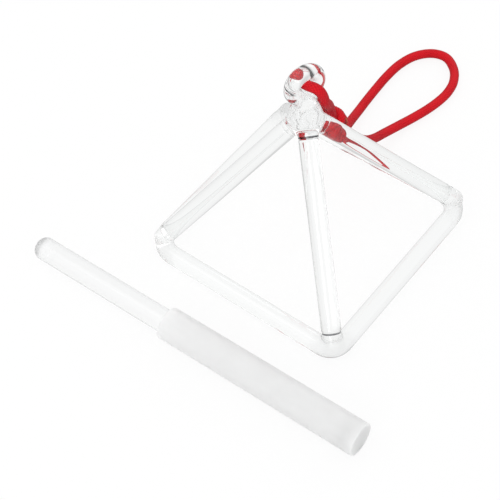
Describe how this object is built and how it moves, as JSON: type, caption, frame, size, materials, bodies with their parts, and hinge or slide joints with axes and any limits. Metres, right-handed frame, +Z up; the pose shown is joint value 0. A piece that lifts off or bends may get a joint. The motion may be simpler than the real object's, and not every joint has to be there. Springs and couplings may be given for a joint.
{
  "type": "singing pyramid",
  "caption": "Open square pyramid of fused clear glass rod with a hanging ring and red cord loop, played with a glass rod mallet in a soft sleeve.",
  "frame": {"origin": "on the table, under the apex, at the middle of the square base", "axes": "+X along the front base rod to the right, +Y to the back, +Z up"},
  "size_m": [0.1641, 0.2029, 0.098],
  "materials": {
    "glass": "clear, fire polished",
    "cord": "satin braid",
    "rod_glass": "slightly milky, fire polished",
    "sleeve": "frosted, translucent silicone"
  },
  "bodies": {
    "pyramid": {"base_rod_front": "glass", "base_rod_right": "glass", "base_rod_back": "glass", "base_rod_left": "glass", "corner_back_right": "glass", "corner_back_left": "glass", "corner_front_left": "glass", "corner_front_right": "glass", "leg_back_right": "glass", "leg_back_left": "glass", "leg_front_left": "glass", "leg_front_right": "glass", "apex_hub": "glass", "hanging_ring": "glass"},
    "hanger": {"cord_hanger": "cord", "cord_knot": "cord"},
    "loop": {"cord_loop": "cord"},
    "mallet": {"mallet_rod": "rod_glass"},
    "sleeve": {"mallet_sleeve": "sleeve"}
  },
  "joints": [
    {"name": "cord_swing", "type": "hinge", "parent": "pyramid", "child": "hanger", "pos_m": [0, 0, 0.089], "axis": [0.9483, -0.3173, 0], "range_deg": [0, 158]},
    {"name": "loop_fold", "type": "hinge", "parent": "hanger", "child": "loop", "pos_m": [-0.0002, 0.016, 0.055], "axis": [1, 0, 0], "range_deg": [-38, 0]},
    {"name": "mallet_lift", "type": "slide", "parent": "pyramid", "child": "mallet", "axis": [0, 0, 1], "range_m": [0, 0.12]},
    {"name": "sleeve_pull", "type": "slide", "parent": "mallet", "child": "sleeve", "axis": [0.9998, 0.0209, 0], "range_m": [0, 0.1]}
  ],
  "couplings": [
    {"joint": "loop_fold", "follows": "cord_swing", "ratio": -0.24}
  ]
}
